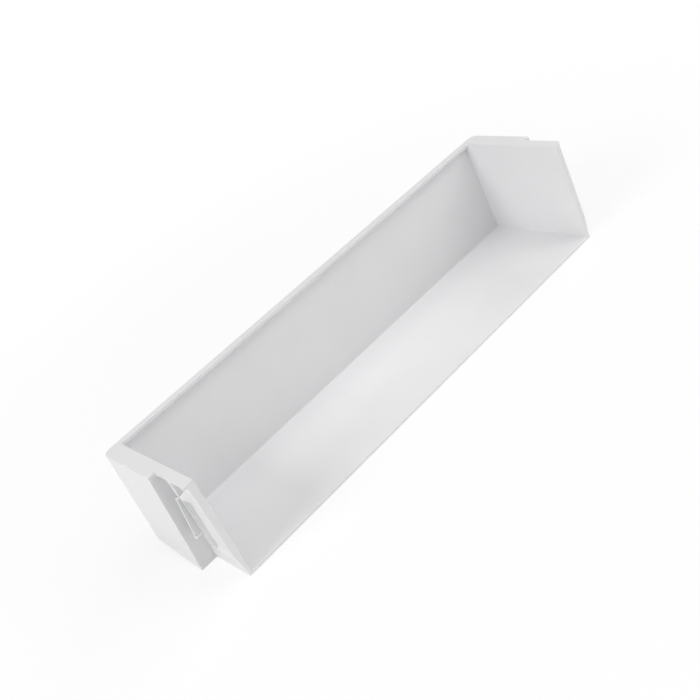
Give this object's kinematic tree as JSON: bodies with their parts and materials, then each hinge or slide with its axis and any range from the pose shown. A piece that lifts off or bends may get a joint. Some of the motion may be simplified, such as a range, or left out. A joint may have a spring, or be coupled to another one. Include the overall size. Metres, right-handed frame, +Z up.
{
  "type": "refrigerator door shelf",
  "caption": "Long open-backed plastic bin with a flat floor, tall front wall and hooked, sprung end brackets that slide over lugs on a refrigerator door.",
  "frame": {"origin": "centre of the underside's outline, on the surface that it stands on", "axes": "+X along the length to the right-hand end, -Y towards the front wall, +Y towards the open back, +Z up"},
  "size_m": [0.4412, 0.1064, 0.0919],
  "materials": {
    "white_plastic": "satin moulded polystyrene"
  },
  "bodies": {
    "shelf": {"floor_panel": "white_plastic", "front_wall": "white_plastic", "left_end_wall": "white_plastic", "right_end_wall": "white_plastic", "left_bracket": "white_plastic", "right_bracket": "white_plastic", "left_latch_housing": "white_plastic", "right_latch_housing": "white_plastic"},
    "left_latch": {"left_latch_finger": "white_plastic"},
    "right_latch": {"right_latch_finger": "white_plastic"}
  },
  "joints": [
    {"name": "left_latch_flex", "type": "hinge", "parent": "shelf", "child": "left_latch", "pos_m": [-0.209, 0.0232, 0.0687], "axis": [1, 0, 0], "range_deg": [0, 4.5], "stiffness_Nm_per_rad": 0.05},
    {"name": "right_latch_flex", "type": "hinge", "parent": "shelf", "child": "right_latch", "pos_m": [0.209, 0.0232, 0.0687], "axis": [1, 0, 0], "range_deg": [0, 4.5], "stiffness_Nm_per_rad": 0.05}
  ]
}
